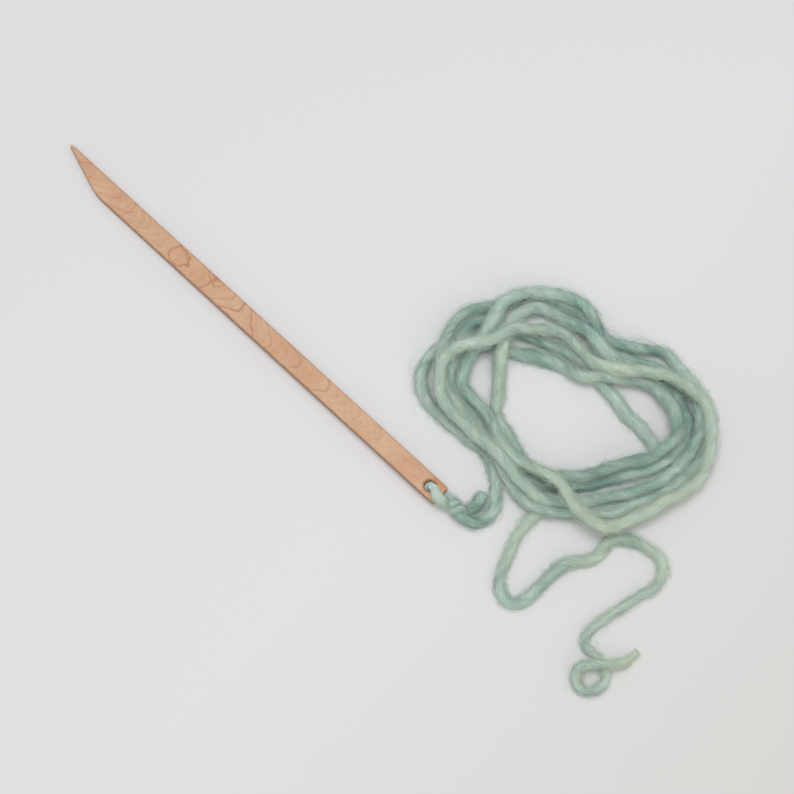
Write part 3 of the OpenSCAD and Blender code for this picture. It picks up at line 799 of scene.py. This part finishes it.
wood = add_mix(tree, orange_brown_patch, wood, ORANGE_BROWN_WOOD)
wood = add_mix(tree, scorch, wood, SCORCHED_WOOD)
upright = add_node(tree, "SeparateXYZ", {0: add_node(tree, "NewGeometry").outputs["Normal"]}).outputs[2]
cut = add_range(tree, add_math(tree, "ABSOLUTE", upright), 0.85, 0.4)
tree.links.new(add_mix(tree, cut, wood, CUT_WOOD), shader.inputs["Base Color"])
grain = add_node(tree, "Bump", {"Height": flecks, "Distance": 0.0002, "Strength": 0.4})
tree.links.new(grain.outputs["Normal"], shader.inputs["Normal"])
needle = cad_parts["needle"]
needle.data.materials.clear()
needle.data.materials.append(maple)

# --- The short end ------------------------------------------------------------------------------
# The other end of the same wool, a few centimetres long. It comes out of the eye from below, is pinched
# under the square end, goes through the knot beside the long strand and ends cut off blunt.
END_HEIGHT = 1.8
short_route = np.vstack([
    [[0, 0, eye_middle], [0, 0, eye_bottom + 0.6]],
    [[0.6, 0.1, eye_bottom - 0.8], [2.2, 0.5, END_HEIGHT], [6.4, 1.8, END_HEIGHT]],
    [[9.2, 2.6, 2.4]],
    knot_twist(SHORT_PHASE),
    [[19.3, 4.6, 2.6]],
    laid([[19.9, 7.6, 0], [19.4, 11, 0], [17.4, 14, 0]]),
])
short_route[:2, 0] = SLACK
short_thickness = np.concatenate([
    [4.3, 4.3], [3.2, 3.2, 3.4], [3.2], np.full(9, 2.9), [3.8], [4.4, 5.2, 5.4],
])
short_strand = Strand(short_route + [eye_x, 0, 0], short_thickness, seed=51)


def neighbours_of(strand, other):
    """Every stretch of wool that a strand may touch, two steps long: the strand itself and the other one."""
    own, beside = strand.line[::2], other.line[::2]
    return {"middle": np.vstack([own, beside]),
            "ring": np.concatenate([np.arange(len(strand.line))[::2], np.zeros(len(beside), int)]),
            "own": np.concatenate([np.ones(len(own), bool), np.zeros(len(beside), bool)])}


beside_long = neighbours_of(long_strand, short_strand)
beside_short = neighbours_of(short_strand, long_strand)
yarn = strand_piece("yarn", long_strand, beside_long)
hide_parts("yarn_lead", "yarn_coil", "yarn_tail")
short_end = strand_piece("yarn_end", short_strand, beside_short)
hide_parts("yarn_short_end")
HAIR_LENGTH, HAIR_HEIGHT, STRAY_LENGTH, STRAY_HEIGHT = 9, 2.8, 22, 6
long_hair = [fibre_piece(f"yarn_fibres_{batch}", long_strand, beside_long,
                         lying_fibres(long_strand, 4200, seed=70 + batch)) for batch in (1, 2, 3)]
long_hair += [fibre_piece(f"yarn_hairs_{batch}", long_strand, beside_long,
                          loose_hairs(long_strand, 7000, HAIR_LENGTH, HAIR_HEIGHT, seed=80 + batch))
              for batch in (1, 2, 3, 4)]
long_hair.append(fibre_piece("yarn_strays", long_strand, beside_long,
                             loose_hairs(long_strand, 700, STRAY_LENGTH, STRAY_HEIGHT, seed=90)))
short_hair = [fibre_piece("yarn_end_fibres", short_strand, beside_short,
                          lying_fibres(short_strand, 210, seed=91)),
              fibre_piece("yarn_end_hairs", short_strand, beside_short,
                          loose_hairs(short_strand, 600, HAIR_LENGTH, HAIR_HEIGHT, seed=92))]
